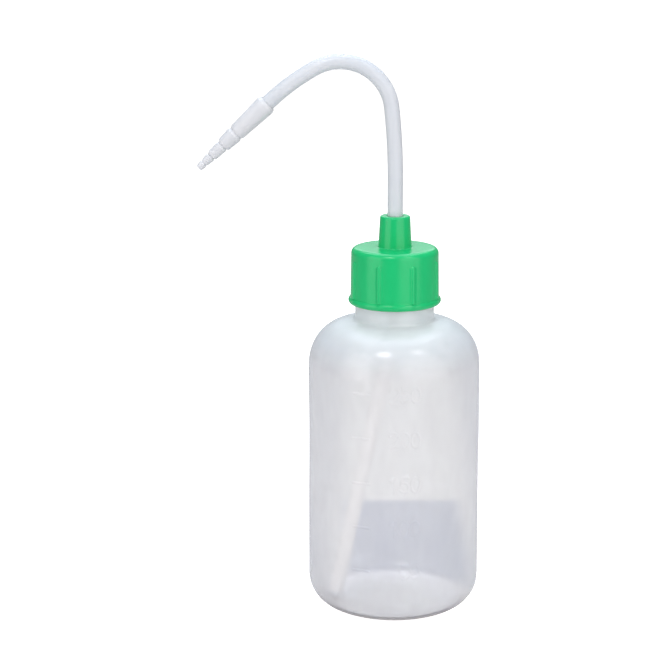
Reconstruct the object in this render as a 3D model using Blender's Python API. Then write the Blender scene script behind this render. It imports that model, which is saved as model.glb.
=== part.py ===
"""A 250 mL squeeze wash bottle in five pieces: bottle, sealing ring, screw cap, delivery tube and jet nozzle.

Metres, +Z up. The origin is the centre of the bottle's flat base, on its axis. The bent tube and the nozzle
lie in the XZ plane and point towards -X. The graduations face -Y.
"""

import math

import bmesh
import bpy
from mathutils import Matrix, Vector

MM = 0.001
FULL_TURN = 2 * math.pi

# Gaps between pieces
RUNNING_GAP = 0.15 * MM  # radial, between the tube and what it turns or slides in
RESTING_GAP = 0.3 * MM  # between pieces that press on each other

# Bottle body
BODY_RADIUS = 31.5 * MM
WALL = 1.0 * MM
BASE_CORNER = 11.5 * MM
SHOULDER_START = 90.3 * MM
SHOULDER_HEIGHT = 18.9 * MM
SHOULDER_INNER_RADIUS = 12.7 * MM  # where the shoulder's curve would level out
SHOULDER_SQUARENESS = 2.4  # 2 is an ellipse, more is squarer

# Bottle neck
NECK_FILLET = 1.5 * MM
BAND_RADIUS = 14.1 * MM  # the plain band that shows below the cap
BAND_TOP = 116.4 * MM
NECK_RADIUS = 12.7 * MM
NECK_BORE = 10.6 * MM
RIM_HEIGHT = 132.1 * MM
RIM_ROUND = 0.5 * MM

# Screw thread, right-handed, one start
LEAD = 4.0 * MM
THREAD_BASE = 1.8 * MM
THREAD_CREST = 0.9 * MM
THREAD_ROOTED = 0.3 * MM  # how far a ridge reaches into its own wall
THREAD_RUN_OUT = 0.12  # of a turn, at each end
BOTTLE_THREAD_START = 123.3 * MM
BOTTLE_THREAD_TURNS = 1.25
BOTTLE_THREAD_RADIUS = 13.9 * MM
CAP_THREAD_TURNS = 1.0
CAP_THREAD_RADIUS = 13.2 * MM
CAP_THREAD_DROP = 1.45 * MM  # the cap's ridge lies this far below the bottle's

# Graduations: raised bars, 50 mL apart
GRADUATION_HEIGHTS = [21.8 * MM, 38.2 * MM, 54.8 * MM, 71.5 * MM, 88.0 * MM]
GRADUATION_START = math.radians(-29)  # round the body from -Y, towards -X
GRADUATION_SPAN = math.radians(11)
GRADUATION_WIDTH = 0.8 * MM
GRADUATION_PROUD = 0.25 * MM

# Screw cap
CAP_BOTTOM = 115.1 * MM
CAP_TOP = 136.0 * MM
CAP_RADIUS_BOTTOM = 16.25 * MM
CAP_RADIUS_TOP = 15.95 * MM
CAP_BORE = 14.5 * MM
CAP_PLATE = 1.8 * MM
CAP_EDGE_ROUND = 1.5 * MM
BEAD_RADIUS = 17.0 * MM
BEAD_HEIGHT = 2.8 * MM
RIB_COUNT = 8
RIB_WIDTH = 1.6 * MM
RIB_PROUD = 0.6 * MM
RIB_TOP = 131.6 * MM

# The cap's spout boss, which grips the tube above and below the plate
SPOUT_BASE_RADIUS = 6.05 * MM
SPOUT_TOP_RADIUS = 5.5 * MM
SPOUT_TOP = 147.6 * MM
SPOUT_ROUND = 0.9 * MM
SPOUT_FILLET = 0.4 * MM
MOUTH_FLARE = 0.4 * MM
BOSS_RADIUS = 5.0 * MM
BOSS_BOTTOM = 128.4 * MM

# Sealing ring, between the bottle's rim and the cap's plate
RING_INNER = 10.9 * MM
RING_OUTER = 14.1 * MM
RING_ROUND = 0.3 * MM

# Delivery tube: one length, from the dip end up through the cap and over to the nozzle
TUBE_RADIUS = 2.8 * MM
TUBE_BORE = 1.9 * MM
DIP_END = 4.2 * MM  # height of the dip end's centre
DIP_SLANT = 11.9  # degrees from upright
DIP_BEND_RADIUS = 40 * MM
DIP_BEND_HEIGHT = 106.5 * MM  # where the slanting and the upright centre lines would cross
UPRIGHT_TO = 160.4 * MM
TUBE_BENDS = ((26.4 * MM, 6.3), (36.9 * MM, 113.0), (19.9 * MM, 13.9))  # length, and degrees turned
BEND_STEP = 6.0  # degrees

# Jet nozzle: a sleeve that steps down to a fine jet, to be cut back at a groove for a wider one
SLEEVE_OFFSET = 1.2 * MM  # from the tube's last bend to the sleeve's mouth
SLEEVE_DEPTH = 12.0 * MM
TUBE_IN_SLEEVE = 11.5 * MM
SLEEVE_MOUTH_RADIUS = 3.3 * MM
JET_BORE_START = 1.9 * MM
JET_BORE_END = 0.6 * MM
# Each step's start and end along the nozzle, and its radius at each
JET_STEPS = (
    (1.3 * MM, 15.0 * MM, 3.80 * MM, 3.15 * MM),
    (16.6 * MM, 21.8 * MM, 3.10 * MM, 2.70 * MM),
    (23.0 * MM, 27.6 * MM, 2.30 * MM, 2.00 * MM),
    (28.6 * MM, 31.2 * MM, 1.80 * MM, 1.50 * MM),
    (32.0 * MM, 34.3 * MM, 1.55 * MM, 1.20 * MM),
)
GROOVE_DEPTH = 0.45 * MM

SEGMENTS = 48
SMALL_SEGMENTS = 32
TUBE_SEGMENTS = 20


def clear_scene():
    for obj in list(bpy.data.objects):
        bpy.data.objects.remove(obj)


def plastic(name, colour, roughness, alpha=1.0):
    material = bpy.data.materials.new(name)
    material.use_nodes = True
    shader = material.node_tree.nodes["Principled BSDF"]
    shader.inputs["Base Color"].default_value = (*colour, 1.0)
    shader.inputs["Roughness"].default_value = roughness
    shader.inputs["Metallic"].default_value = 0.0
    shader.inputs["Alpha"].default_value = alpha
    return material


def finished_mesh(name, bm, sharp_degrees=35):
    mesh = bpy.data.meshes.new(name)
    bm.to_mesh(mesh)
    bm.free()
    mesh.shade_smooth()
    mesh.set_sharp_from_angle(angle=math.radians(sharp_degrees))
    return mesh


def add_object(mesh, material=None, parent=None):
    obj = bpy.data.objects.new(mesh.name, mesh)
    bpy.context.scene.collection.objects.link(obj)
    if material:
        obj.data.materials.append(material)
    obj.parent = parent
    return obj


def unite(obj, addition):
    """Joins a helper object onto a piece, and keeps the helper out of the model."""
    addition.hide_render = True
    addition.display_type = "WIRE"
    modifier = obj.modifiers.new(addition.name, "BOOLEAN")
    modifier.operation = "UNION"
    modifier.solver = "EXACT"
    modifier.object = addition


def arc(centre_r, centre_z, radius, start, end, count):
    """Points of an outline's arc. Angles are in degrees, and 0 points away from the axis."""
    points = []
    for i in range(count + 1):
        angle = math.radians(start + (end - start) * i / count)
        points.append((centre_r + radius * math.cos(angle), centre_z + radius * math.sin(angle)))
    return points


def turned_mesh(name, outline, segments=SEGMENTS):
    """The solid that a closed outline of (radius, height) points sweeps round Z.

    The outline runs down the outer side and up the inner side. Points on the axis become one vertex each.
    """
    bm = bmesh.new()
    rings = []
    for radius, height in outline:
        if radius == 0:
            rings.append([bm.verts.new((0, 0, height))] * segments)
            continue
        ring = []
        for i in range(segments):
            angle = FULL_TURN * i / segments
            ring.append(bm.verts.new((radius * math.cos(angle), radius * math.sin(angle), height)))
        rings.append(ring)
    for upper, lower in zip(rings, rings[1:] + rings[:1]):
        for i in range(segments):
            j = (i + 1) % segments
            corners = dict.fromkeys((upper[i], lower[i], lower[j], upper[j]))
            if len(corners) > 2:
                bm.faces.new(corners)
    return finished_mesh(name, bm)


def lofted_mesh(name, sections):
    """The solid through a row of sections, which are rings of points in one order, with flat ends."""
    bm = bmesh.new()
    rings = []
    for section in sections:
        rings.append([bm.verts.new(point) for point in section])
    for near, far in zip(rings, rings[1:]):
        for i in range(len(near)):
            j = (i + 1) % len(near)
            bm.faces.new((near[i], near[j], far[j], far[i]))
    bm.faces.new(rings[0])
    bm.faces.new(rings[-1])
    bmesh.ops.recalc_face_normals(bm, faces=bm.faces)
    return finished_mesh(name, bm)


def round_axis(radius, angle, height):
    return Vector((radius * math.cos(angle), radius * math.sin(angle), height))


def thread_mesh(name, root_radius, crest_radius, start, turns):
    """A ridge that winds up round Z and fades into its wall at both ends.

    It stands out from the wall where the crest's radius is the larger one, and in from it otherwise.
    """
    outward = math.copysign(1, crest_radius - root_radius)
    rooted = root_radius - outward * THREAD_ROOTED
    sections = []
    for i in range(round(turns * SEGMENTS) + 1):
        turned = i / SEGMENTS
        share = min(1.0, turned / THREAD_RUN_OUT, (turns - turned) / THREAD_RUN_OUT)
        crest = rooted + (crest_radius - rooted) * max(share, 0.2)
        middle = start + LEAD * turned
        sections.append([
            round_axis(rooted, FULL_TURN * turned, middle + THREAD_BASE / 2),
            round_axis(rooted, FULL_TURN * turned, middle - THREAD_BASE / 2),
            round_axis(crest, FULL_TURN * turned, middle - THREAD_CREST / 2),
            round_axis(crest, FULL_TURN * turned, middle + THREAD_CREST / 2),
        ])
    return lofted_mesh(name, sections)


def shoulder(offset, count):
    """The shoulder's curve from the neck's foot out to the body, moved in by offset."""
    width = BODY_RADIUS - SHOULDER_INNER_RADIUS
    foot_share = (BAND_RADIUS + NECK_FILLET - SHOULDER_INNER_RADIUS) / width
    first = math.acos(foot_share ** (SHOULDER_SQUARENESS / 2))
    points = []
    for i in range(count + 1):
        angle = first * (1 - i / count)
        out = math.cos(angle) ** (2 / SHOULDER_SQUARENESS)
        up = math.sin(angle) ** (2 / SHOULDER_SQUARENESS)
        points.append((
            SHOULDER_INNER_RADIUS + (width - offset) * out,
            SHOULDER_START + (SHOULDER_HEIGHT - offset) * up,
        ))
    return points


def bottle_outline():
    outside = shoulder(0, 12)
    foot = outside[0][1]
    corner_middle = BODY_RADIUS - BASE_CORNER
    outline = [(NECK_BORE, RIM_HEIGHT)]
    outline += arc(NECK_RADIUS - RIM_ROUND, RIM_HEIGHT - RIM_ROUND, RIM_ROUND, 90, 0, 2)
    outline.append((NECK_RADIUS, BAND_TOP + BAND_RADIUS - NECK_RADIUS))
    outline.append((BAND_RADIUS, BAND_TOP))
    outline += arc(BAND_RADIUS + NECK_FILLET, foot + NECK_FILLET, NECK_FILLET, 180, 250, 3)
    outline += outside[1:]
    outline += arc(corner_middle, BASE_CORNER, BASE_CORNER, 0, -90, 8)
    outline += [(0, 0), (0, WALL)]
    outline += arc(corner_middle, BASE_CORNER, BASE_CORNER - WALL, -90, 0, 7)
    outline += reversed(shoulder(WALL, 9))
    outline.append((NECK_BORE, foot + NECK_FILLET))
    return outline


def graduation_mesh(name, height):
    """A raised bar that follows the body's curve."""
    steps = 4
    inner = BODY_RADIUS - WALL / 2
    outer = BODY_RADIUS + GRADUATION_PROUD
    sections = []
    for i in range(steps + 1):
        angle = GRADUATION_START + GRADUATION_SPAN * i / steps - math.pi / 2
        sections.append([
            round_axis(inner, angle, height - GRADUATION_WIDTH / 2),
            round_axis(outer, angle, height - GRADUATION_WIDTH / 4),
            round_axis(outer, angle, height + GRADUATION_WIDTH / 4),
            round_axis(inner, angle, height + GRADUATION_WIDTH / 2),
        ])
    return lofted_mesh(name, sections)


def make_bottle(material):
    bottle = add_object(turned_mesh("bottle", bottle_outline()), material)
    ridge = thread_mesh(
        "bottle_thread_ridge", NECK_RADIUS, BOTTLE_THREAD_RADIUS, BOTTLE_THREAD_START, BOTTLE_THREAD_TURNS
    )
    unite(bottle, add_object(ridge))
    for i, height in enumerate(GRADUATION_HEIGHTS):
        unite(bottle, add_object(graduation_mesh(f"graduation_{i + 1}", height)))
    return bottle


def make_sealing_ring(material, bottle):
    low = RIM_HEIGHT + RESTING_GAP
    high = CAP_TOP - CAP_PLATE - RESTING_GAP
    outline = []
    for radius, height, start in (
        (RING_OUTER - RING_ROUND, high - RING_ROUND, 90),
        (RING_OUTER - RING_ROUND, low + RING_ROUND, 0),
        (RING_INNER + RING_ROUND, low + RING_ROUND, -90),
        (RING_INNER + RING_ROUND, high - RING_ROUND, -180),
    ):
        outline += arc(radius, height, RING_ROUND, start, start - 90, 1)
    return add_object(turned_mesh("sealing_ring", outline, SMALL_SEGMENTS), material, bottle)


def cap_side(height):
    """The skirt's outer radius at a height."""
    share = (height - CAP_BOTTOM) / (CAP_TOP - CAP_BOTTOM)
    return CAP_RADIUS_BOTTOM + (CAP_RADIUS_TOP - CAP_RADIUS_BOTTOM) * share


def cap_outline():
    bore = TUBE_RADIUS + RUNNING_GAP
    edge = CAP_TOP - CAP_EDGE_ROUND
    bead_round = BEAD_HEIGHT / 2
    bead_proud = BEAD_RADIUS - bead_round
    outline = [(bore + MOUTH_FLARE, SPOUT_TOP)]
    outline += arc(SPOUT_TOP_RADIUS - SPOUT_ROUND, SPOUT_TOP - SPOUT_ROUND, SPOUT_ROUND, 90, 0, 4)
    outline += arc(SPOUT_BASE_RADIUS + SPOUT_FILLET, CAP_TOP + SPOUT_FILLET, SPOUT_FILLET, 180, 270, 2)
    outline += arc(cap_side(edge) - CAP_EDGE_ROUND, edge, CAP_EDGE_ROUND, 90, 0, 5)
    outline.append((cap_side(CAP_BOTTOM + BEAD_HEIGHT), CAP_BOTTOM + BEAD_HEIGHT))
    outline += arc(bead_proud, CAP_BOTTOM + bead_round, bead_round, 55, -90, 6)
    outline += [(CAP_BORE, CAP_BOTTOM), (CAP_BORE, CAP_TOP - CAP_PLATE)]
    outline += [(BOSS_RADIUS, CAP_TOP - CAP_PLATE), (BOSS_RADIUS, BOSS_BOTTOM), (bore, BOSS_BOTTOM)]
    outline.append((bore, SPOUT_TOP - 2 * MOUTH_FLARE))
    return outline


def rib_mesh(name, angle):
    """A half-round rib that runs up the skirt out of the bead and ends in a rounded top."""
    half = RIB_WIDTH / 2
    around = 6
    levels = [(CAP_BOTTOM + BEAD_HEIGHT / 2, 1.0), (RIB_TOP - half, 1.0)]
    levels += [(RIB_TOP - half * (1 - math.sin(math.radians(a))), math.cos(math.radians(a))) for a in (30, 55, 78)]
    sections = []
    for height, size in levels:
        side = cap_side(height)
        section = []
        for i in range(around + 1):
            turn = math.pi * i / around
            section.append((side + RIB_PROUD * size * math.sin(turn), half * size * math.cos(turn)))
        section += [(side - RIB_PROUD, -half * size), (side - RIB_PROUD, half * size)]
        sections.append([Matrix.Rotation(angle, 3, "Z") @ Vector((*point, height)) for point in section])
    return lofted_mesh(name, sections)


def make_screw_cap(material, sealing_ring):
    cap = add_object(turned_mesh("screw_cap", cap_outline()), material, sealing_ring)
    ridge = thread_mesh(
        "cap_thread_ridge", CAP_BORE, CAP_THREAD_RADIUS, BOTTLE_THREAD_START - CAP_THREAD_DROP, CAP_THREAD_TURNS
    )
    unite(cap, add_object(ridge))
    for i in range(RIB_COUNT):
        unite(cap, add_object(rib_mesh(f"rib_{i + 1}", FULL_TURN * (i + 0.5) / RIB_COUNT)))
    return cap


def heading_vector(heading):
    return Vector((math.cos(heading), 0, math.sin(heading)))


def tube_route():
    """The tube's centre line in the XZ plane, from the dip end to the last bend, as (point, heading) pairs."""
    slant = math.radians(DIP_SLANT)
    bend_length = DIP_BEND_RADIUS * slant
    cut_back = DIP_BEND_RADIUS * math.tan(slant / 2)
    slant_length = (DIP_BEND_HEIGHT - DIP_END) / math.cos(slant) - cut_back
    upright_length = UPRIGHT_TO - DIP_BEND_HEIGHT - cut_back
    heading = math.pi / 2 - slant
    point = Vector((-(DIP_BEND_HEIGHT - DIP_END) * math.tan(slant), 0, DIP_END))
    route = [(point, heading)]
    for length, degrees in ((slant_length, 0), (bend_length, DIP_SLANT), (upright_length, 0), *TUBE_BENDS):
        steps = max(1, math.ceil(degrees / BEND_STEP))
        turn = math.radians(degrees) / steps
        for _ in range(steps):
            chord = length / steps
            if turn:
                chord *= math.sin(turn / 2) / (turn / 2)
            point = point + chord * heading_vector(heading + turn / 2)
            heading += turn
            route.append((point, heading))
    return route


def tube_mesh(name, route):
    """A hollow tube along a route in the XZ plane."""
    bm = bmesh.new()
    skins = []
    for radius in (TUBE_RADIUS, TUBE_BORE):
        rings = []
        for point, heading in route:
            across = heading_vector(heading - math.pi / 2)
            ring = []
            for i in range(TUBE_SEGMENTS):
                angle = FULL_TURN * i / TUBE_SEGMENTS
                offset = radius * (math.cos(angle) * across + math.sin(angle) * Vector((0, 1, 0)))
                ring.append(bm.verts.new(point + offset))
            rings.append(ring)
        skins.append(rings)
    outer, inner = skins
    loop = outer + inner[::-1]
    for near, far in zip(loop, loop[1:] + loop[:1]):
        for i in range(TUBE_SEGMENTS):
            j = (i + 1) % TUBE_SEGMENTS
            bm.faces.new((near[i], near[j], far[j], far[i]))
    bmesh.ops.recalc_face_normals(bm, faces=bm.faces)
    return finished_mesh(name, bm)


def make_delivery_tube(material, cap, route):
    last_point, heading = route[-1]
    inside = SLEEVE_OFFSET + TUBE_IN_SLEEVE
    whole = route + [(last_point + inside * heading_vector(heading), heading)]
    return add_object(tube_mesh("delivery_tube", whole), material, cap)


def nozzle_outline():
    """The nozzle's outline, with its mouth at 0 and its tip up +Z."""
    sleeve_bore = TUBE_RADIUS + RUNNING_GAP
    outline = [(JET_BORE_START, SLEEVE_DEPTH), (sleeve_bore, SLEEVE_DEPTH), (sleeve_bore, 0)]
    outline.append((SLEEVE_MOUTH_RADIUS, 0))
    for i, (start, end, start_radius, end_radius) in enumerate(JET_STEPS):
        if i > 0:
            last_end = JET_STEPS[i - 1][1]
            outline.append((start_radius - GROOVE_DEPTH, (last_end + start) / 2))
        outline += [(start_radius, start), (end_radius, end)]
    outline.append((JET_BORE_END, JET_STEPS[-1][1]))
    return outline[::-1]


def make_jet_nozzle(material, tube, route):
    last_point, heading = route[-1]
    nozzle = add_object(turned_mesh("jet_nozzle", nozzle_outline(), SMALL_SEGMENTS), material, tube)
    mouth = last_point + SLEEVE_OFFSET * heading_vector(heading)
    nozzle.matrix_world = Matrix.Translation(mouth) @ Matrix.Rotation(math.pi / 2 - heading, 4, "Y")
    return nozzle


def main():
    clear_scene()
    natural = plastic("natural_polyethylene", (0.80, 0.83, 0.88), 0.35, alpha=0.75)
    tubing = plastic("tube_polyethylene", (0.78, 0.81, 0.86), 0.30, alpha=0.85)
    green = plastic("green_polypropylene", (0.02, 0.56, 0.17), 0.35)
    rubber = plastic("white_sealing_rubber", (0.85, 0.85, 0.82), 0.60)

    route = tube_route()
    bottle = make_bottle(natural)
    sealing_ring = make_sealing_ring(rubber, bottle)
    screw_cap = make_screw_cap(green, sealing_ring)
    delivery_tube = make_delivery_tube(tubing, screw_cap, route)
    make_jet_nozzle(tubing, delivery_tube, route)


main()
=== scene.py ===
"""The looks of the squeeze wash bottle: fine meshes, plastics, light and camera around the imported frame.

Metres, +Z up, in the frame's own coordinates. The bottle stands on its axis at the origin, its graduations
face -Y, and the bent tube and the nozzle lie in the XZ plane and point towards -X.
"""

import math

import bmesh
import bpy
import numpy as np
from mathutils import Matrix, Vector


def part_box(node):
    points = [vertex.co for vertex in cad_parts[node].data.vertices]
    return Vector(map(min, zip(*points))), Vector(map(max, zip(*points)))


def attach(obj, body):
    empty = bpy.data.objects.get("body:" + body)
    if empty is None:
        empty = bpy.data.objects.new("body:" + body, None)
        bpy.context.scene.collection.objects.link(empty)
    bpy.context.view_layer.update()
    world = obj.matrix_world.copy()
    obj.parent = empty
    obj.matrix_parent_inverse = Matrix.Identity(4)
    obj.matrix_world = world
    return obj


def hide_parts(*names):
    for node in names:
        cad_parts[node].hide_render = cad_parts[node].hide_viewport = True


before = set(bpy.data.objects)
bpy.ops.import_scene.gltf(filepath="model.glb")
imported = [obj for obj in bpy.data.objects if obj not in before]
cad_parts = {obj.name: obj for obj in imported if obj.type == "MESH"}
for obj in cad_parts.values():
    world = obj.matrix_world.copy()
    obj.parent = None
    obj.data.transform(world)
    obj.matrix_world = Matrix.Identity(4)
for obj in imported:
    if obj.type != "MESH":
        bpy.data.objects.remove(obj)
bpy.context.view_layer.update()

MM = 0.001

# Sizes read from the frame
BOTTLE_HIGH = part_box("bottle")[1]
CAP_LOW, CAP_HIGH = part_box("screw_cap")
BODY_RADIUS = BOTTLE_HIGH.x
RIM_HEIGHT = BOTTLE_HIGH.z
CAP_BOTTOM = CAP_LOW.z
SPOUT_TOP = CAP_HIGH.z
BEAD_RADIUS = CAP_HIGH.x

# Bottle
WALL = 1.0 * MM
BASE_CORNER = 11.5 * MM
SHOULDER_START = 90.3 * MM
SHOULDER_HEIGHT = 18.9 * MM
SHOULDER_INNER_RADIUS = 12.7 * MM
SHOULDER_SQUARENESS = 2.4
NECK_FILLET = 1.5 * MM
BAND_RADIUS = 14.4 * MM
BAND_TOP = 116.4 * MM
BAND_ROUND = 0.4 * MM
NECK_RADIUS = 12.7 * MM
NECK_BORE = 10.6 * MM
RIM_ROUND = 0.5 * MM
RECESS_RADIUS = 17.0 * MM
RECESS_SLOPE = 2.0 * MM
RECESS_DEPTH = 0.45 * MM
SEAM_WIDTH = 0.5 * MM
SEAM_PROUD = 0.07 * MM
PINCH_WIDTH = 0.9 * MM
PINCH_PROUD = 0.3 * MM
PINCH_LENGTH = 30 * MM
WAVINESS = 0.06 * MM
WAVES = (  # share, waves round the body, climb, phase
    (1.0, 2, 2.1, 0.6),
    (0.7, 3, -3.3, 2.0),
    (0.5, 5, 4.7, 4.0),
)
WAVES_FADE = 12 * MM

# Threads, right-handed, one start
LEAD = 4.0 * MM
THREAD_BASE = 1.8 * MM
THREAD_CREST = 0.9 * MM
THREAD_RUN_OUT = 0.12  # turns
BOTTLE_THREAD_START = 123.3 * MM
BOTTLE_THREAD_TURNS = 1.25
BOTTLE_THREAD_PROUD = 1.2 * MM
CAP_THREAD_DROP = 1.45 * MM  # how far the cap's thread lies under the bottle's
CAP_THREAD_TURNS = 1.0
CAP_THREAD_PROUD = 1.3 * MM

# Graduations
MARK_HEIGHTS = {"50": 21.8 * MM, "100": 38.2 * MM, "150": 54.8 * MM, "200": 71.5 * MM, "250": 88.0 * MM}
MARK_PROUD = 0.09 * MM
MARK_WIDTH = 0.75 * MM
MARK_EDGE = 0.28 * MM
TICK_START = math.radians(-29)  # round the body from the front
TICK_SPAN = math.radians(11)
DIGIT_HEIGHT = 5.5 * MM
DIGIT_WIDTH = 3.1 * MM
DIGIT_PITCH = 3.9 * MM
NUMBER_END = 8.6 * MM  # the numbers' right end, round the body from the front
BOW_POINTS = 21

# Screw cap
CAP_TOP = 136.0 * MM
CAP_RADIUS_BOTTOM = 16.25 * MM
CAP_RADIUS_TOP = 15.95 * MM
CAP_BORE = 14.5 * MM
CAP_PLATE = 1.8 * MM
CAP_EDGE_ROUND = 2.2 * MM
BEAD_HEIGHT = 2.8 * MM
BEAD_FILLET = 0.45 * MM
BEAD_SLOPE = math.radians(60)  # where round the bead the skirt meets it
SKIRT_MOUTH_FLARE = 0.6 * MM
SKIRT_MOUTH_RISE = 0.3 * MM
SKIRT_MOUTH_ROUND = 0.2 * MM
RIB_COUNT = 8
RIB_WIDTH = 1.6 * MM
RIB_PROUD = 0.6 * MM
RIB_FULLNESS = 1.2  # 1 makes the ribs round in section, and more makes them sharper
RIB_TOP = 131.6 * MM
SPOUT_BASE_RADIUS = 6.05 * MM
SPOUT_TOP_RADIUS = 5.5 * MM
SPOUT_ROUND = 0.75 * MM
SPOUT_FILLET = 0.4 * MM
MOUTH_FLARE = 0.15 * MM
MOUTH_ROUND = 0.3 * MM
BOSS_RADIUS = 5.0 * MM
BOSS_BOTTOM = 128.4 * MM
BOSS_CHAMFER = 0.3 * MM

# Delivery tube
TUBE_RADIUS = 2.8 * MM
TUBE_BORE = 1.9 * MM
TUBE_EDGE = 0.15 * MM
RUNNING_GAP = 0.15 * MM
DIP_END = 4.2 * MM
DIP_SLANT = 11.9  # degrees from upright
DIP_BEND_RADIUS = 40 * MM
DIP_BEND_HEIGHT = 106.5 * MM
UPRIGHT_TO = 160.4 * MM
TUBE_BENDS = ((26.4 * MM, 6.3), (36.9 * MM, 113.0), (19.9 * MM, 13.9))  # length and degrees of turn of each

# Jet nozzle
SLEEVE_OFFSET = 1.2 * MM  # from the last bend to the sleeve's mouth
SLEEVE_DEPTH = 12.0 * MM
TUBE_IN_SLEEVE = 11.5 * MM
SLEEVE_MOUTH_RADIUS = 3.3 * MM
JET_BORE_START = 1.9 * MM
JET_BORE_END = 0.6 * MM
JET_BORE_FUNNEL = 0.4 * MM
JET_STEPS = (  # start and end along the nozzle, radius at its start and at its end
    (1.3 * MM, 15.0 * MM, 3.80 * MM, 3.15 * MM),
    (16.6 * MM, 21.8 * MM, 3.10 * MM, 2.70 * MM),
    (23.0 * MM, 27.6 * MM, 2.30 * MM, 2.00 * MM),
    (28.6 * MM, 31.2 * MM, 1.80 * MM, 1.50 * MM),
    (32.0 * MM, 34.3 * MM, 1.55 * MM, 1.20 * MM),
)
GROOVE_DEPTH = 0.45 * MM
STEP_ROUND = 0.35 * MM

# How fine the meshes are: steps along the outlines in metres, and turns round them in degrees
NECK_STEP = 0.25 * MM
MARKS_STEP = 0.2 * MM
BODY_STEP = 2.0 * MM
BASE_START = 0.5 * MM
BASE_STEP = 0.7 * MM
BASE_INSIDE_RADII = (4 * MM, 12 * MM)
BODY_INSIDE_STEP = 4 * MM
NECK_INSIDE_STEP = 3 * MM
SPOUT_STEP = 1.2 * MM
PLATE_STEP = 1.5 * MM
SKIRT_STEP = 1.2 * MM
RIB_END_STEP = 0.12 * MM
RIB_END_MARGIN = 0.2 * MM
CAP_THREAD_STEP = 0.4 * MM
MOUTH_STEP = 0.2 * MM
MARKS_REACH = 0.6  # times the digits' height, above and below a mark's middle
TUBE_STEP = 4 * MM
PLAIN_TURN = 3.0
SEAM_TURN = 0.34
SEAM_SPAN = 2.4
MARKS_TURN = 0.46
MARKS_MARGIN = 1.5
RIB_TURN = 0.35
RIB_SPREAD = 1.1  # times the ribs' width
BEND_STEP = 2.0
TUBE_SEGMENTS = 48
NOZZLE_SEGMENTS = 64

# What counts as a corner, and as a point on a wall
LEAST_CORNER = math.radians(5)
MOST_CUT = 0.45  # of a corner's shorter side
SHARP_ON_BOTTLE = 30  # degrees
SHARP_ON_OTHERS = 50
BOTTLE_UPRIGHT = 0.99  # how near to level a normal lies on an upright wall
CAP_UPRIGHT = 0.9
BOTTLE_NEAR = 0.1 * MM
CAP_NEAR = 0.05 * MM


# ---------------------------------------------------------------- outlines

def arc(centre_r, centre_z, radius, start, end, step=8):
    """Points of an outline's arc. Angles are in degrees, and 0 points away from the axis."""
    count = max(2, math.ceil(abs(end - start) / step))
    angles = np.radians(np.linspace(start, end, count + 1))
    return [(centre_r + radius * math.cos(a), centre_z + radius * math.sin(a)) for a in angles]


def straight(start, end, step):
    """Points from start up to, and not including, end, at most step apart."""
    start, end = Vector(start), Vector(end)
    count = max(1, math.ceil((end - start).length / step))
    return [tuple(start.lerp(end, i / count)) for i in range(count)]


def spaced(start, end, step):
    """Values from start up to, and not including, end, at most step apart."""
    if end - start < 1e-9:
        return []
    count = math.ceil((end - start) / step - 1e-6)
    return [start + (end - start) * i / count for i in range(count)]


def zoned(start, end, step, zones):
    """Values from start up to, and not including, end. Each zone is (from, to, step), with a finer step."""
    values = []
    for low, high, fine in [*zones, (end, end, step)]:
        values += spaced(start, low, step) + spaced(low, high, fine)
        start = high
    return values


def rounded(points, radius, step=20):
    """A row of (radius, height) points with each corner between its ends rounded off."""
    points = [Vector(p) for p in points]
    result = [tuple(points[0])]
    for before, corner, after in zip(points, points[1:], points[2:]):
        to_before, to_after = before - corner, after - corner
        turn = math.pi - to_before.angle(to_after)
        if turn < LEAST_CORNER:
            result.append(tuple(corner))
            continue
        cut = min(radius * math.tan(turn / 2), MOST_CUT * to_before.length, MOST_CUT * to_after.length)
        first = corner + to_before.normalized() * cut
        last = corner + to_after.normalized() * cut
        count = max(2, math.ceil(math.degrees(turn) / step))
        for i in range(count + 1):
            t = i / count
            result.append(tuple((1 - t) ** 2 * first + 2 * t * (1 - t) * corner + t ** 2 * last))
    result.append(tuple(points[-1]))
    return result


# ---------------------------------------------------------------- meshes

def smooth_step(value):
    """A smooth rise from 0 to 1 as value does."""
    value = np.clip(value, 0, 1)
    return value * value * (3 - 2 * value)


def new_piece(name, mesh, material, sharp_degrees=SHARP_ON_OTHERS):
    """An object with smooth shading, but for edges sharper than the given angle."""
    mesh.shade_smooth()
    mesh.set_sharp_from_angle(angle=math.radians(sharp_degrees))
    mesh.materials.append(material)
    piece = bpy.data.objects.new(name, mesh)
    bpy.context.scene.collection.objects.link(piece)
    return piece


def grid_mesh(name, points, on_axis=()):
    """A closed skin over rows of points. Each row closes round, and so do the rows, last to first.

    The rows listed in on_axis are one point each.
    """
    rows, columns = points.shape[:2]
    index = np.arange(rows * columns).reshape(rows, columns)
    for row in on_axis:
        index[row] = index[row, 0]
    after = np.roll(index, -1, axis=0)
    corners = np.stack([index, after, np.roll(after, -1, axis=1), np.roll(index, -1, axis=1)], axis=-1)
    used, corners = np.unique(corners.reshape(-1), return_inverse=True)
    faces = [tuple(dict.fromkeys(face)) for face in corners.reshape(-1, 4).tolist()]
    mesh = bpy.data.meshes.new(name)
    mesh.from_pydata(points.reshape(-1, 3)[used].tolist(), [], [face for face in faces if len(face) > 2])
    return mesh


def outline_normals(outline):
    """The directions that point out of the material, for a closed outline that runs down its outer side."""
    run = np.zeros(outline.shape)
    for step in (outline - np.roll(outline, 1, axis=0), np.roll(outline, -1, axis=0) - outline):
        run += step / np.linalg.norm(step, axis=1, keepdims=True)
    normals = np.stack([-run[:, 1], run[:, 0]], axis=1)
    return normals / np.linalg.norm(normals, axis=1, keepdims=True)


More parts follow.
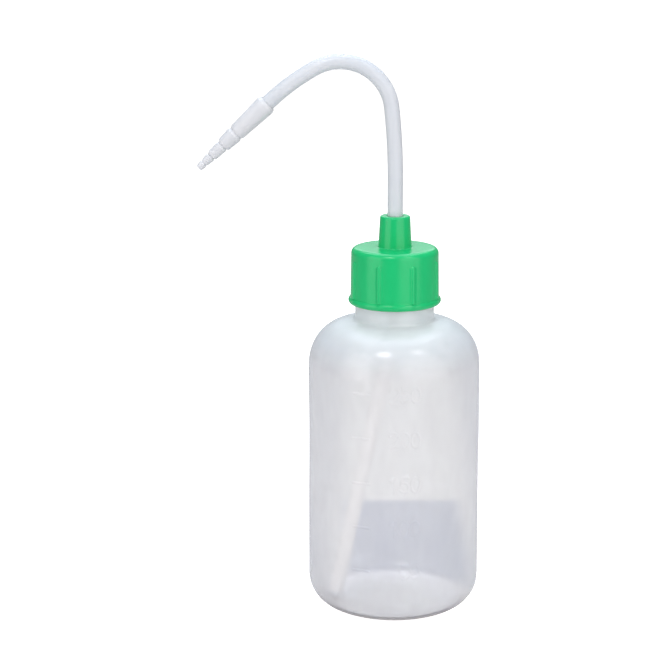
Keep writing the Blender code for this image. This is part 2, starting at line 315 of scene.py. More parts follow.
def turned_mesh(name, outline, angles, relief=None):
    """The solid that a closed outline of (radius, height) points sweeps round Z.

    relief(radius, height, angle, normals) gives how far the surface stands out at each point, in metres.
    """
    outline = np.array(outline)
    normals = outline_normals(outline)
    angles = np.array(angles)
    radius = np.repeat(outline[:, :1], len(angles), axis=1)
    height = np.repeat(outline[:, 1:], len(angles), axis=1)
    if relief:
        lift = relief(radius, height, np.broadcast_to(angles, radius.shape), normals)
        on_axis = outline[:, 0] == 0
        lift[on_axis] = lift[on_axis].mean(axis=1, keepdims=True)
        height = height + normals[:, 1:] * lift
        radius = np.where(on_axis[:, None], 0, radius + normals[:, :1] * lift)
    points = np.stack([radius * np.cos(angles), radius * np.sin(angles), height], axis=-1)
    return grid_mesh(name, points, np.flatnonzero(outline[:, 0] == 0))


def turn_difference(angle, middle):
    """How far an angle is round from middle, between minus and plus half a turn."""
    return (angle - middle + math.pi) % (2 * math.pi) - math.pi


def thread_relief(angle, height, start, turns, proud):
    """How far a thread's ridge stands out at points on its wall."""
    lift = np.zeros(angle.shape)
    for lap in range(math.ceil(turns)):
        turned = (angle % (2 * math.pi)) / (2 * math.pi) + lap
        run_out = smooth_step(np.minimum(turned, turns - turned) / THREAD_RUN_OUT)
        away = np.abs(height - start - LEAD * turned)
        flank = smooth_step((THREAD_BASE / 2 - away) / (THREAD_BASE / 2 - THREAD_CREST / 2))
        lift = np.maximum(lift, proud * run_out * flank)
    return lift


# ---------------------------------------------------------------- bottle

def bow(centre_u, centre_v, wide, high, start, end):
    """Points along part of an ellipse, in degrees anticlockwise from its right."""
    angles = np.radians(np.linspace(start, end, BOW_POINTS))
    return [(centre_u + wide * math.cos(a), centre_v + high * math.sin(a)) for a in angles]


# Each digit's stroke in a box one unit wide and one unit high
DIGITS = {
    "0": bow(0.5, 0.5, 0.5, 0.5, 0, 360),
    "1": [(0.15, 0.78), (0.55, 1.0), (0.55, 0.0)],
    "2": bow(0.5, 0.71, 0.47, 0.29, 165, -35) + [(0.03, 0.0), (1.0, 0.0)],
    "5": [(0.95, 1.0), (0.16, 1.0), (0.08, 0.53)] + bow(0.46, 0.32, 0.52, 0.32, 125, -145),
}


def stroke_distance(u, v, path):
    """How far points (u, v) lie from a line through the path's points."""
    nearest = np.full(u.shape, np.inf)
    for (u0, v0), (u1, v1) in zip(path, path[1:]):
        run_u, run_v = u1 - u0, v1 - v0
        share = ((u - u0) * run_u + (v - v0) * run_v) / (run_u ** 2 + run_v ** 2)
        share = np.clip(share, 0, 1)
        nearest = np.minimum(nearest, np.hypot(u - u0 - share * run_u, v - v0 - share * run_v))
    return nearest


def mark_paths(number, height):
    """The strokes of one graduation, as (distance round the body from the front, height) points."""
    tick_start = BODY_RADIUS * TICK_START
    tick_end = BODY_RADIUS * (TICK_START + TICK_SPAN)
    paths = [[(tick_start, height), (tick_end, height)]]
    for place, digit in enumerate(reversed(number)):
        left = NUMBER_END - DIGIT_WIDTH - place * DIGIT_PITCH
        foot = height - DIGIT_HEIGHT / 2
        paths.append([(left + DIGIT_WIDTH * u, foot + DIGIT_HEIGHT * v) for u, v in DIGITS[digit]])
    return paths


def marks_relief(angle, height):
    """The raised graduation bars and numbers on the front of the body."""
    lift = np.zeros(angle.shape)
    u = BODY_RADIUS * turn_difference(angle, -math.pi / 2)
    for number, mark_height in MARK_HEIGHTS.items():
        rows = np.abs(height[:, 0] - mark_height) < DIGIT_HEIGHT
        for path in mark_paths(number, mark_height):
            away = stroke_distance(u[rows], height[rows], path)
            raised = smooth_step((MARK_WIDTH / 2 + MARK_EDGE / 2 - away) / MARK_EDGE)
            lift[rows] = np.maximum(lift[rows], MARK_PROUD * raised)
    return lift


def bottle_relief(radius, height, angle, normals):
    """What the mould adds to the turned shape: marks, thread, parting seam, pinch-off and slight waviness."""
    outside = np.arange(len(radius))[:, None] < BOTTLE_OUTSIDE_ROWS
    upright = np.abs(normals[:, :1]) > BOTTLE_UPRIGHT
    body = outside & upright & (radius > BODY_RADIUS - BOTTLE_NEAR)
    neck = outside & upright & (np.abs(radius - NECK_RADIUS) < BOTTLE_NEAR)
    lift = np.where(body, marks_relief(angle, height), 0)
    thread = thread_relief(angle, height, BOTTLE_THREAD_START, BOTTLE_THREAD_TURNS, BOTTLE_THREAD_PROUD)
    lift = np.where(neck, thread, lift)

    x, y = radius * np.cos(angle), radius * np.sin(angle)
    under = outside & (normals[:, 1:] < -BOTTLE_UPRIGHT)
    seam = SEAM_PROUD * smooth_step(2 - 2 * np.abs(y) / SEAM_WIDTH)
    lift += np.where(outside & ~under & (height < BAND_TOP), seam, 0)
    pinch_length = smooth_step((PINCH_LENGTH / 2 - np.abs(x)) / MM)
    pinch = PINCH_PROUD * smooth_step(2 - 2 * np.abs(y) / PINCH_WIDTH) * pinch_length
    lift += np.where(under, pinch, 0)

    level = height / BODY_RADIUS
    wave = sum(share * np.sin(count * angle + climb * level + phase) for share, count, climb, phase in WAVES)
    fade = smooth_step(height / BASE_CORNER)
    fade = fade * smooth_step((SHOULDER_START + SHOULDER_HEIGHT - height) / WAVES_FADE)
    return lift + WAVINESS * wave * fade * np.where(outside, 1, -1)


def shoulder(offset, count):
    """The shoulder's curve from the neck's foot out to the body, moved in by offset."""
    width = BODY_RADIUS - SHOULDER_INNER_RADIUS
    foot_share = (BAND_RADIUS + NECK_FILLET - SHOULDER_INNER_RADIUS) / width
    first = math.acos(foot_share ** (SHOULDER_SQUARENESS / 2))
    points = []
    for i in range(count + 1):
        angle = first * (1 - i / count)
        out = math.cos(angle) ** (2 / SHOULDER_SQUARENESS)
        up = math.sin(angle) ** (2 / SHOULDER_SQUARENESS)
        points.append((
            SHOULDER_INNER_RADIUS + (width - offset) * out,
            SHOULDER_START + (SHOULDER_HEIGHT - offset) * up,
        ))
    return points


def recess(radius):
    """The height of the base's underside at a radius: a shallow dish inside a flat ring."""
    return RECESS_DEPTH * float(smooth_step((RECESS_RADIUS - radius) / RECESS_SLOPE))


def bottle_outline():
    """The outline from the rim down the outside, then up the inside, and the number of its outside points."""
    outside = shoulder(0, 40)
    foot = outside[0][1]
    corner_middle = BODY_RADIUS - BASE_CORNER
    band_low = (BAND_RADIUS, BAND_TOP - BAND_ROUND)
    outline = arc(NECK_RADIUS - RIM_ROUND, RIM_HEIGHT - RIM_ROUND, RIM_ROUND, 90, 0, 18)
    neck_foot = (NECK_RADIUS, BAND_TOP + BAND_RADIUS - NECK_RADIUS)
    outline += straight(outline[-1], neck_foot, NECK_STEP)[1:]
    outline += rounded([neck_foot, (BAND_RADIUS, BAND_TOP), band_low], BAND_ROUND)
    outline += arc(BAND_RADIUS + NECK_FILLET, foot + NECK_FILLET, NECK_FILLET, 180, 250, 10)
    outline += outside[1:-1]
    reach = MARKS_REACH * DIGIT_HEIGHT
    zones = [(h - reach, h + reach, MARKS_STEP) for h in MARK_HEIGHTS.values()]
    zones[-1] = (zones[-1][0], SHOULDER_START, MARKS_STEP)
    heights = zoned(BASE_CORNER, SHOULDER_START, BODY_STEP, zones)
    outline += [(BODY_RADIUS, h) for h in [SHOULDER_START, *heights[::-1]]]
    outline += arc(corner_middle, BASE_CORNER, BASE_CORNER, 0, -90, 5)[1:]
    radii = spaced(BASE_START, RECESS_RADIUS + RECESS_SLOPE, BASE_STEP)[::-1]
    outline += [(r, recess(r)) for r in radii] + [(0, recess(0))]
    outside_count = len(outline)

    outline += [(r, WALL) for r in (0, *BASE_INSIDE_RADII)]
    outline += arc(corner_middle, BASE_CORNER, BASE_CORNER - WALL, -90, 0, 6)
    outline += [(BODY_RADIUS - WALL, h) for h in spaced(BASE_CORNER, SHOULDER_START, BODY_INSIDE_STEP)[1:]]
    outline += shoulder(WALL, 24)[::-1]
    outline += straight((NECK_BORE, foot + NECK_FILLET), (NECK_BORE, RIM_HEIGHT), NECK_INSIDE_STEP)
    outline.append((NECK_BORE, RIM_HEIGHT))
    return outline, outside_count


def make_bottle(material):
    marks_end = math.degrees(NUMBER_END / BODY_RADIUS) + MARKS_MARGIN
    zones = [
        (0, SEAM_SPAN, SEAM_TURN),
        (180 - SEAM_SPAN, 180 + SEAM_SPAN, SEAM_TURN),
        (270 + math.degrees(TICK_START) - MARKS_MARGIN, 270 + marks_end, MARKS_TURN),
        (360 - SEAM_SPAN, 360, SEAM_TURN),
    ]
    angles = np.radians(zoned(0, 360, PLAIN_TURN, zones))
    mesh = turned_mesh("moulded_bottle", bottle_outline()[0], angles, bottle_relief)
    bottle = new_piece("moulded_bottle", mesh, material, SHARP_ON_BOTTLE)
    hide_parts("bottle")
    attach(bottle, "bottle")
    return bottle


# ---------------------------------------------------------------- screw cap

def cap_side(height):
    """The skirt's outer radius at a height."""
    share = (height - CAP_BOTTOM) / (CAP_TOP - CAP_BOTTOM)
    return CAP_RADIUS_BOTTOM + (CAP_RADIUS_TOP - CAP_RADIUS_BOTTOM) * share


def cap_outline():
    """The outline from the spout's mouth down the outside, then up the inside."""
    bore = TUBE_RADIUS + RUNNING_GAP
    mouth_foot = SPOUT_TOP - 2 * MOUTH_FLARE
    mouth = [(bore, mouth_foot), (bore + MOUTH_FLARE, SPOUT_TOP), (SPOUT_TOP_RADIUS - SPOUT_ROUND, SPOUT_TOP)]
    outline = rounded(mouth, MOUTH_ROUND)[1:-1]
    outline += arc(SPOUT_TOP_RADIUS - SPOUT_ROUND, SPOUT_TOP - SPOUT_ROUND, SPOUT_ROUND, 90, 2, 9)
    outline += straight(outline[-1], (SPOUT_BASE_RADIUS, CAP_TOP + SPOUT_FILLET), SPOUT_STEP)[1:]
    outline += arc(SPOUT_BASE_RADIUS + SPOUT_FILLET, CAP_TOP + SPOUT_FILLET, SPOUT_FILLET, 180, 270, 15)

    edge = CAP_TOP - CAP_EDGE_ROUND
    outline += straight(outline[-1], (cap_side(edge) - CAP_EDGE_ROUND, CAP_TOP), PLATE_STEP)[1:]
    outline += arc(cap_side(edge) - CAP_EDGE_ROUND, edge, CAP_EDGE_ROUND, 90, 0, 8)
    rib_end = (RIB_TOP - RIB_WIDTH, RIB_TOP + RIB_END_MARGIN, RIB_END_STEP)
    heights = zoned(CAP_BOTTOM + BEAD_HEIGHT + BEAD_FILLET, edge, SKIRT_STEP, [rib_end])
    outline += [(cap_side(h), h) for h in heights[::-1]]

    bead_round = BEAD_HEIGHT / 2
    bead_middle = CAP_BOTTOM + bead_round
    bead_proud = BEAD_RADIUS - bead_round
    bead_shoulder = bead_middle + bead_round * math.sin(BEAD_SLOPE)
    skirt_foot = [
        (cap_side(bead_middle + bead_round), bead_shoulder),
        (bead_proud + bead_round * math.cos(BEAD_SLOPE), bead_shoulder),
    ]
    outline += rounded([outline[-1], *skirt_foot], BEAD_FILLET)[1:-1]
    outline += arc(bead_proud, bead_middle, bead_round, 58, -80, 9)

    skirt_mouth = [(CAP_BORE + SKIRT_MOUTH_FLARE, CAP_BOTTOM), (CAP_BORE, CAP_BOTTOM + SKIRT_MOUTH_RISE)]
    plate_under = CAP_TOP - CAP_PLATE
    outline += rounded([outline[-1], *skirt_mouth], SKIRT_MOUTH_ROUND)[1:]
    outline += straight(outline[-1], (CAP_BORE, plate_under), CAP_THREAD_STEP)[1:]
    outline += [
        (CAP_BORE, plate_under),
        (BOSS_RADIUS + BOSS_CHAMFER, plate_under),
        (BOSS_RADIUS, plate_under - BOSS_CHAMFER),
        (BOSS_RADIUS, BOSS_BOTTOM + BOSS_CHAMFER),
        (BOSS_RADIUS - BOSS_CHAMFER, BOSS_BOTTOM),
        (bore, BOSS_BOTTOM),
        (bore, mouth_foot - MOUTH_STEP),
    ]
    return outline


def cap_relief(radius, height, angle, normals):
    """The grip ribs outside the skirt, and the thread inside it."""
    upright = np.abs(normals[:, 0]) > CAP_UPRIGHT
    skirt = upright & (normals[:, 0] > 0) & (radius[:, 0] > CAP_BORE)
    bore = upright & (normals[:, 0] < 0) & (np.abs(radius[:, 0] - CAP_BORE) < CAP_NEAR)
    half = RIB_WIDTH / 2
    spacing = 2 * math.pi / RIB_COUNT
    across = radius * turn_difference(RIB_COUNT * (angle - spacing / 2), 0) / RIB_COUNT
    past_top = np.maximum(height - (RIB_TOP - half), 0)
    share = np.hypot(across, past_top) / half
    above_bead = smooth_step((height - CAP_BOTTOM - BEAD_HEIGHT / 2) / (BEAD_HEIGHT / 2))
    rib = RIB_PROUD * above_bead * np.sqrt(np.clip(1 - share ** 2, 0, 1)) ** RIB_FULLNESS
    start = BOTTLE_THREAD_START - CAP_THREAD_DROP
    thread = thread_relief(angle, height, start, CAP_THREAD_TURNS, CAP_THREAD_PROUD)
    return np.where(skirt[:, None], rib, np.where(bore[:, None], thread, 0))


def make_screw_cap(material):
    half = math.degrees(RIB_WIDTH / 2 / CAP_RADIUS_BOTTOM) * RIB_SPREAD
    middles = [360 * (i + 0.5) / RIB_COUNT for i in range(RIB_COUNT)]
    angles = np.radians(zoned(0, 360, PLAIN_TURN, [(m - half, m + half, RIB_TURN) for m in middles]))
    mesh = turned_mesh("moulded_screw_cap", cap_outline(), angles, cap_relief)
    cap = new_piece("moulded_screw_cap", mesh, material, SHARP_ON_OTHERS)
    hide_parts("screw_cap")
    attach(cap, "cap")
    return cap


# ---------------------------------------------------------------- tube and nozzle

def heading_vector(heading):
    """The direction in the XZ plane at an angle up from +X."""
    return Vector((math.cos(heading), 0, math.sin(heading)))


def tube_route():
    """The tube's centre line in the XZ plane, as (point, heading) pairs.

    It runs from the dip end to the last bend.
    """
    slant = math.radians(DIP_SLANT)
    cut_back = DIP_BEND_RADIUS * math.tan(slant / 2)
    slant_length = (DIP_BEND_HEIGHT - DIP_END) / math.cos(slant) - cut_back
    upright_length = UPRIGHT_TO - DIP_BEND_HEIGHT - cut_back
    heading = math.pi / 2 - slant
    point = Vector((-(DIP_BEND_HEIGHT - DIP_END) * math.tan(slant), 0, DIP_END))
    route = [(point, heading)]
    runs = ((slant_length, 0), (DIP_BEND_RADIUS * slant, DIP_SLANT), (upright_length, 0), *TUBE_BENDS)
    for length, degrees in runs:
        steps = max(1, math.ceil(degrees / BEND_STEP), math.ceil(length / TUBE_STEP))
        turn = math.radians(degrees) / steps
        for _ in range(steps):
            point = point + length / steps * heading_vector(heading + turn / 2)
            heading += turn
            route.append((point, heading))
    return route


def tube_mesh(name, route):
    """A hollow tube along a route in the XZ plane, with its cut edges slightly rounded."""
    start, start_heading = route[0]
    end, end_heading = route[-1]
    outer, inner = TUBE_RADIUS, TUBE_BORE
    sections = [(start, start_heading, outer - TUBE_EDGE)]
    sections.append((start + TUBE_EDGE * heading_vector(start_heading), start_heading, outer))
    sections += [(point, heading, outer) for point, heading in route[1:-1]]
    sections.append((end - TUBE_EDGE * heading_vector(end_heading), end_heading, outer))
    sections.append((end, end_heading, outer - TUBE_EDGE))
    sections += [(point, heading, inner) for point, heading in reversed(route)]
    angles = np.linspace(0, 2 * math.pi, TUBE_SEGMENTS, endpoint=False)
    rows = []
    for point, heading, radius in sections:
        across = np.array(heading_vector(heading - math.pi / 2))
        ring = radius * (np.cos(angles)[:, None] * across - np.sin(angles)[:, None] * np.array((0, 1, 0)))
        rows.append(np.array(point) + ring)
    return grid_mesh(name, np.array(rows))


def make_tube(material, route):
    last_point, heading = route[-1]
    inside = (SLEEVE_OFFSET + TUBE_IN_SLEEVE) * heading_vector(heading)
    mesh = tube_mesh("bent_tube", [*route, (last_point + inside, heading)])
    tube = new_piece("bent_tube", mesh, material, SHARP_ON_OTHERS)
    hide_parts("delivery_tube")
    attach(tube, "tube")
    return tube


def nozzle_outline():
    """The nozzle's outline with its mouth at 0 and its tip up +Z, from the tip down the outside."""
    sleeve_bore = TUBE_RADIUS + RUNNING_GAP
    outside = [(SLEEVE_MOUTH_RADIUS, 0)]
    for i, (start, end, start_radius, end_radius) in enumerate(JET_STEPS):
        if i > 0:
            last_end = JET_STEPS[i - 1][1]
            outside.append((start_radius - GROOVE_DEPTH, (last_end + start) / 2))
        outside += [(start_radius, start), (end_radius, end)]
    outside.append((JET_BORE_END, JET_STEPS[-1][1]))
    outside = [(sleeve_bore, 0), *outside]
    outline = rounded(outside[::-1], STEP_ROUND)
    return outline + [(sleeve_bore, SLEEVE_DEPTH), (JET_BORE_START, SLEEVE_DEPTH + JET_BORE_FUNNEL)]


def make_nozzle(material, route):
    last_point, heading = route[-1]
    angles = np.linspace(0, 2 * math.pi, NOZZLE_SEGMENTS, endpoint=False)
    mesh = turned_mesh("stepped_nozzle", nozzle_outline(), angles)
    mouth = last_point + SLEEVE_OFFSET * heading_vector(heading)
    mesh.transform(Matrix.Translation(mouth) @ Matrix.Rotation(math.pi / 2 - heading, 4, "Y"))
    nozzle = new_piece("stepped_nozzle", mesh, material, SHARP_ON_OTHERS)
    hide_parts("jet_nozzle")
    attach(nozzle, "nozzle")
    return nozzle


# ---------------------------------------------------------------- materials

# Polyethylene, and how its haze, its satin and its sharper reflection vary
SATIN = 0.31
SATIN_VARIES = 0.01
OPEN_VARIES = 0.02
GLOSS_ROUGHNESS = 0.16
GLOSS_FACING = 0.04
GLOSS_AT_EDGE = 0.15
GLOSS_EDGE_POWER = 5.0

# Parts of a piece with another look, some of them painted light or shade: height where it starts, height where
# it is full, colour, and share that is still see-through
BOTTLE_ZONES = (
    (90 * MM, 104 * MM, (0.78, 0.86, 0.92), 1.0),  # painted cool light of the top lamp on the upward-facing shoulder, partly the thicker plastic's tint
    (94 * MM, 114 * MM, (0.85, 0.90, 0.955), 0.6),  # the thicker, less see-through shoulder and neck, with a bluish tint that is partly painted cool light
    (3.5 * MM, 0.8 * MM, (0.80, 0.79, 0.81), 0.26),  # painted shade at the foot, darker where the bottle meets the floor, and the thicker, less see-through base
)
# The dip tube's paler part inside the bottle is painted light
TUBE_PAINTED_LIGHT_ZONES = (
    (125 * MM, 115 * MM, (0.90, 0.90, 0.905), 0.0),  # painted light: paler inside the bottle, standing in for the light that reaches it there, and not see-through
)

# The floor behind the bottle, with painted shade and a painted shadow. All of it is measured from the bottle's
# axis.
FLOOR_GLOW = 1.0  # what washes the paper out to white, for the camera alone
LIT_MIDDLE = 5 * MM  # the middle of the strip behind the bottle where the paper is brightest, with painted shade beside it
LIT_TURN = 0.024  # how much the strip leans to the right as it runs back
LIT_EDGE = (21 * MM, 36 * MM)  # where the strip fades into the painted shade, from its middle
SIDE_SHADE_EDGE = (70 * MM, 110 * MM)  # where the painted shade beside the strip ends
# The tone of the painted shade beside the lit strip
SIDE_SHADE_TONE = (0.565, 0.545, 0.545)
SHADOW_EDGES = (-17 * MM, 31 * MM, 126 * MM)  # the painted shadow's left, right and far edges, behind the bottle
SHADOW_SOFTNESS = 9 * MM
SHADOW_TONE = (0.36, 0.375, 0.44)


class Nodes:
    """Builds a material's node tree."""

    def __init__(self, name):
        self.material = bpy.data.materials.new(name)
        self.material.use_nodes = True
        self.tree = self.material.node_tree
        self.tree.nodes.clear()

    def add(self, kind, inputs=None, **settings):
        node = self.tree.nodes.new(kind)
        for key, value in settings.items():
            setattr(node, key, value)
        for key, value in (inputs or {}).items():
            if isinstance(value, bpy.types.NodeSocket):
                self.tree.links.new(value, node.inputs[key])
            else:
                node.inputs[key].default_value = value
        return node

    def place(self, scale=(1, 1, 1)):
        """Object coordinates in metres, stretched by scale."""
        coordinates = self.add("ShaderNodeTexCoord")
        mapping = self.add("ShaderNodeMapping", {"Vector": coordinates.outputs["Object"], "Scale": scale})
        return mapping.outputs["Vector"]

    def noise(self, per_metre, detail=2.0, roughness=0.5, stretch=(1, 1, 1)):
        """Noise in the piece's own coordinates, from 0 to 1."""
        inputs = {"Vector": self.place(stretch), "Scale": per_metre, "Detail": detail, "Roughness": roughness}
        return self.add("ShaderNodeTexNoise", inputs).outputs["Fac"]

    def ranged(self, value, low, high, from_low=0.3, from_high=0.7):
        """A smooth run from low to high as value goes from from_low to from_high, where most noise lies."""
        inputs = {"Value": value, "From Min": from_low, "From Max": from_high, "To Min": low, "To Max": high}
        return self.add("ShaderNodeMapRange", inputs, interpolation_type="SMOOTHSTEP").outputs["Result"]

    def times(self, *values):
        product = values[0]
        for value in values[1:]:
            product = self.add("ShaderNodeMath", {0: product, 1: value}, operation="MULTIPLY").outputs[0]
        return product

    def sum_of(self, value, factor, added):
        """value times a number plus a number."""
        node = self.add("ShaderNodeMath", {0: value, 1: factor, 2: added}, operation="MULTIPLY_ADD")
        return node.outputs[0]

    def blend(self, factor, first, second):
        """A mix of two shaders."""
        node = self.add("ShaderNodeMixShader", {0: factor})
        self.tree.links.new(first, node.inputs[1])
        self.tree.links.new(second, node.inputs[2])
        return node.outputs[0]

    def mixed(self, factor, first, second):
        """A mix of two colours, each a triple or another node's output."""
        node = self.add("ShaderNodeMix", data_type="RGBA")
        self.tree.links.new(factor, node.inputs["Factor"])
        for socket, colour in ((node.inputs[6], first), (node.inputs[7], second)):
            if isinstance(colour, bpy.types.NodeSocket):
                self.tree.links.new(colour, socket)
            else:
                socket.default_value = (*colour, 1)
        return node.outputs[2]

    def bump(self, height, distance, strength=1.0):
        inputs = {"Height": height, "Distance": distance, "Strength": strength}
        return self.add("ShaderNodeBump", inputs).outputs["Normal"]

    def finish(self, shader):
        output = self.add("ShaderNodeOutputMaterial")
        self.tree.links.new(shader, output.inputs["Surface"])
        return self.material


def polyethylene(name, colour, clouded, openness, scatter, gloss=0.0, zones=()):
    """Milky, see-through polyethylene: a satin surface that shows haze, and what is behind it.

    openness is the share that is seen through, scatter how far light runs in it, and gloss how much of the
    reflection is sharp. Each of zones is (height where it starts, height where it is full, colour, share still
    see-through).
    """
    nodes = Nodes(name)
    height = nodes.add("ShaderNodeSeparateXYZ", {"Vector": nodes.place()}).outputs["Z"]
    cloud = nodes.noise(45, 3.0, 0.55, (1, 1, 0.45))
    base_colour = nodes.mixed(nodes.ranged(cloud, 0, 1), colour, clouded)
    open_share = nodes.ranged(cloud, openness + OPEN_VARIES, openness - OPEN_VARIES)
    for start, full, tint, share in zones:
        within = nodes.ranged(height, 0, 1, start, full)
        base_colour = nodes.mixed(within, base_colour, tint)
        open_share = nodes.times(open_share, nodes.sum_of(within, share - 1, 1))
    principled = nodes.add("ShaderNodeBsdfPrincipled", {
        "Base Color": base_colour,
        "Roughness": nodes.ranged(cloud, SATIN - SATIN_VARIES, SATIN + SATIN_VARIES),
        "IOR": 1.51,
        "Subsurface Weight": 1.0,
        "Subsurface Radius": (1, 1, 1),
        "Subsurface Scale": scatter,
    })
    clear = nodes.add("ShaderNodeBsdfTransparent", {"Color": (1, 1, 1, 1)})
    hazy = nodes.blend(open_share, principled.outputs[0], clear.outputs[0])
    if not gloss:
        return nodes.finish(hazy)
    facing = nodes.add("ShaderNodeLayerWeight", {"Blend": 0.5}).outputs["Facing"]
    rim = nodes.add("ShaderNodeMath", {0: facing, 1: GLOSS_EDGE_POWER}, operation="POWER").outputs[0]
    shine = nodes.add("ShaderNodeBsdfGlossy", {"Color": (1, 1, 1, 1), "Roughness": GLOSS_ROUGHNESS})
    shine_share = nodes.sum_of(rim, GLOSS_AT_EDGE * gloss, GLOSS_FACING * gloss)
    return nodes.finish(nodes.blend(shine_share, hazy, shine.outputs[0]))


def polypropylene():
    """Bright green moulded polypropylene, semi-gloss, with faint flow marks."""
    nodes = Nodes("green_polypropylene")
    flow = nodes.noise(120, 3.0, 0.6, (1, 1, 0.5))
    grain = nodes.noise(1400, 2.0, 0.6)
    principled = nodes.add("ShaderNodeBsdfPrincipled", {
        "Base Color": nodes.mixed(nodes.ranged(flow, 0, 1), (0.006, 0.495, 0.158), (0.007, 0.530, 0.172)),
        "Roughness": nodes.ranged(grain, 0.235, 0.25),
        "IOR": 1.49,
        "Specular IOR Level": 0.42,
        "Normal": nodes.bump(grain, 0.002 * MM, 0.5),
    })
    return nodes.finish(principled.outputs[0])


def sealing_rubber():
    """Off-white rubber with a fine grain."""
    nodes = Nodes("white_sealing_rubber")
    grain = nodes.noise(1800, 3.0, 0.6)
    principled = nodes.add("ShaderNodeBsdfPrincipled", {
        "Base Color": nodes.mixed(nodes.ranged(grain, 0, 1), (0.78, 0.78, 0.75), (0.86, 0.86, 0.83)),
        "Roughness": nodes.ranged(grain, 0.55, 0.7),
        "Normal": nodes.bump(grain, 0.03 * MM),
    })
    return nodes.finish(principled.outputs[0])


def seen_directly(tree, added, elsewhere=0.0):
    """elsewhere, plus added for what the camera sees with nothing see-through in front of it."""
    path = tree.nodes.new("ShaderNodeLightPath")
    uncovered = tree.nodes.new("ShaderNodeMath")
    uncovered.operation = "LESS_THAN"
    tree.links.new(path.outputs["Transparent Depth"], uncovered.inputs[0])
    direct = tree.nodes.new("ShaderNodeMath")
    direct.operation = "MULTIPLY"
    tree.links.new(path.outputs["Is Camera Ray"], direct.inputs[0])
    tree.links.new(uncovered.outputs[0], direct.inputs[1])
    total = tree.nodes.new("ShaderNodeMath")
    total.operation = "MULTIPLY_ADD"
    tree.links.new(direct.outputs[0], total.inputs[0])
    total.inputs[1].default_value = added
    total.inputs[2].default_value = elsewhere
    return total.outputs[0]


def floor_paper():
    """Pale paper, which the camera sees washed out to white, as in a cut-out product picture.

    Only through the bottle does the paper's own tone show, with a painted shadow of the bottle on it, and
    painted shade beside a lit strip behind it.
    """
    nodes = Nodes("pale_floor")
    grain = nodes.noise(60, 2.0, 0.5)
    place = nodes.add("ShaderNodeSeparateXYZ", {"Vector": nodes.place()})
    left, right, far = SHADOW_EDGES
    soft = SHADOW_SOFTNESS / 2
    # A painted shadow of the bottle, on the paper behind it
    shadow = nodes.times(
        nodes.ranged(place.outputs["X"], 0, 1, left - soft, left + soft),
        nodes.ranged(place.outputs["X"], 1, 0, right - soft, right + soft),
        nodes.ranged(place.outputs["Y"], 0, 1, 0, BODY_RADIUS),
        nodes.ranged(place.outputs["Y"], 1, 0, far - soft, far + soft),
    )
    # Painted shade on the paper beside the lit strip behind the bottle
    middle = nodes.sum_of(place.outputs["Y"], LIT_TURN, LIT_MIDDLE)
    aside = nodes.add("ShaderNodeMath", {0: place.outputs["X"], 1: middle}, operation="SUBTRACT").outputs[0]
    aside = nodes.add("ShaderNodeMath", {0: aside}, operation="ABSOLUTE").outputs[0]
    side_shade = nodes.times(nodes.ranged(aside, 0, 1, *LIT_EDGE), nodes.ranged(aside, 1, 0, *SIDE_SHADE_EDGE))
    paper = nodes.mixed(nodes.ranged(grain, 0, 1), (0.67, 0.64, 0.61), (0.69, 0.66, 0.63))
    paper = nodes.mixed(side_shade, paper, SIDE_SHADE_TONE)
    glow = seen_directly(nodes.tree, FLOOR_GLOW)
    principled = nodes.add("ShaderNodeBsdfPrincipled", {
        "Base Color": nodes.mixed(shadow, paper, SHADOW_TONE),
        "Roughness": 0.9,
        "Specular IOR Level": 0.2,
        "Emission Color": (1, 1, 1, 1),
        "Emission Strength": glow,
    })
    return nodes.finish(principled.outputs[0])


# ---------------------------------------------------------------- studio

CAMERA_PLACE = (-0.0215, -0.7902, 0.2872)
CAMERA_TILT = 76.85  # degrees from straight down
CAMERA_LENS = 118.1  # mm
SENSOR_WIDTH = 36  # mm
CAMERA_CLIP_END = 50
WORLD_STRENGTH = 0.25  # of the soft light from all round
FLOOR_SIZE = 14.0
FLOOR_DROP = 0.2 * MM  # keeps the floor just clear of the base

# Light panels: place, what it faces, width, height, brightness, colour
PANELS = {
    "left_panel": ((-0.415, -0.28, 0.30), (0, 0, 0.30), 0.39, 0.56, 1.72, (1.0, 0.975, 0.985)),
    "right_panel": ((0.308, -0.394, 0.30), (0, 0, 0.30), 0.53, 0.56, 1.64, (1.0, 0.975, 0.985)),
    "front_left_panel": ((-0.16, -0.43, 0.70), (0, 0, 0.10), 0.18, 0.18, 11.5, (1.0, 0.99, 1.0)),
    "front_right_panel": ((0.32, -0.32, 0.72), (0, 0, 0.10), 0.16, 0.16, 8.0, (1.0, 0.99, 1.0)),
    "top_panel": ((0.0, 0.25, 0.75), (0, 0, 0.10), 0.70, 0.70, 2.5, (0.88, 1.0, 1.15)),
    "back_panel": ((0.0, 0.85, 0.45), (0, 0, 0.12), 0.50, 0.26, 1.6, (0.9, 1.0, 1.1)),
}


def make_floor():
    """The pale paper the bottle stands on."""
    bm = bmesh.new()
    bmesh.ops.create_grid(bm, x_segments=8, y_segments=8, size=FLOOR_SIZE / 2)
    mesh = bpy.data.meshes.new("floor")
    bm.to_mesh(mesh)
    bm.free()
    floor = new_piece("floor", mesh, floor_paper())
    floor.location.z = -FLOOR_DROP


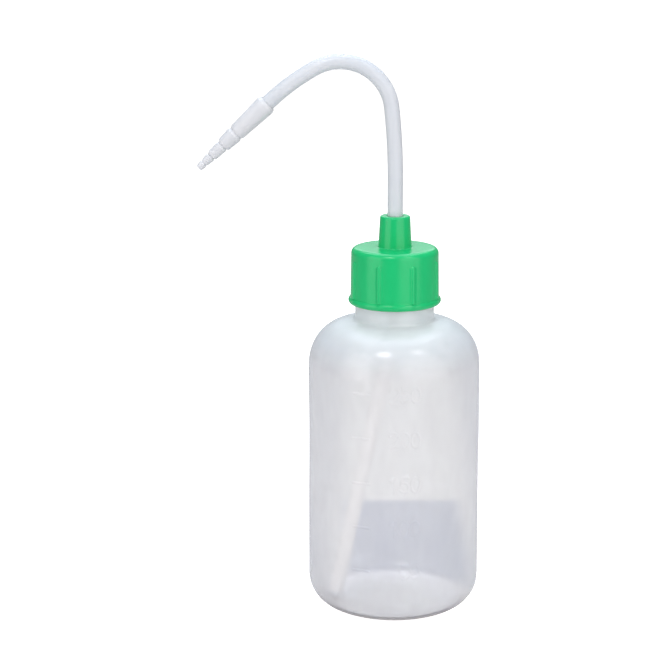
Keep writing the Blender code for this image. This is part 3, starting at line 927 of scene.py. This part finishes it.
def panel(name, place, target, width, height, brightness, colour):
    """A lit panel of a given radiance, which lights the object but doesn't show in the picture."""
    light = bpy.data.lights.new(name, "AREA")
    light.shape = "RECTANGLE"
    light.size = width
    light.size_y = height
    light.energy = math.pi * width * height * brightness
    light.color = colour
    lamp = bpy.data.objects.new(name, light)
    lamp.location = place
    lamp.rotation_euler = (Vector(target) - Vector(place)).to_track_quat("-Z", "Y").to_euler()
    lamp.visible_camera = False
    bpy.context.scene.collection.objects.link(lamp)


def make_lights():
    for name, settings in PANELS.items():
        panel(name, *settings)


def make_world():
    """Soft light from all round, which the camera sees as white."""
    world = bpy.data.worlds.new("white_studio")
    world.use_nodes = True
    background = world.node_tree.nodes["Background"]
    background.inputs["Color"].default_value = (1, 1, 1, 1)
    strength = seen_directly(world.node_tree, 1 - WORLD_STRENGTH, WORLD_STRENGTH)
    world.node_tree.links.new(strength, background.inputs["Strength"])
    bpy.context.scene.world = world


def make_camera():
    camera = bpy.data.cameras.new("photo_camera")
    camera.lens = CAMERA_LENS
    camera.sensor_width = SENSOR_WIDTH
    camera.clip_end = CAMERA_CLIP_END
    place = bpy.data.objects.new("photo_camera", camera)
    place.location = CAMERA_PLACE
    place.rotation_euler = (math.radians(CAMERA_TILT), 0, 0)
    bpy.context.scene.collection.objects.link(place)
    bpy.context.scene.camera = place


# ---------------------------------------------------------------- the model

BOTTLE_OUTSIDE_ROWS = bottle_outline()[1]

make_camera()
make_world()
make_lights()
make_floor()

bottle_plastic = polyethylene(
    "natural_polyethylene", (0.925, 0.905, 0.92), (0.945, 0.92, 0.93),
    openness=0.85, scatter=1.5 * MM, gloss=0.45, zones=BOTTLE_ZONES,
)
tube_plastic = polyethylene(
    "tube_polyethylene", (0.75, 0.785, 0.83), (0.77, 0.80, 0.84),
    openness=0.2, scatter=0.8 * MM, zones=TUBE_PAINTED_LIGHT_ZONES,
)
nozzle_plastic = polyethylene(
    "nozzle_polyethylene", (0.76, 0.78, 0.815), (0.78, 0.795, 0.825),
    openness=0.15, scatter=0.5 * MM,
)

route = tube_route()
make_bottle(bottle_plastic)
make_screw_cap(polypropylene())
make_tube(tube_plastic, route)
make_nozzle(nozzle_plastic, route)
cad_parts["sealing_ring"].data.materials.clear()
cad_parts["sealing_ring"].data.materials.append(sealing_rubber())

bpy.context.scene.view_settings.view_transform = "Standard"
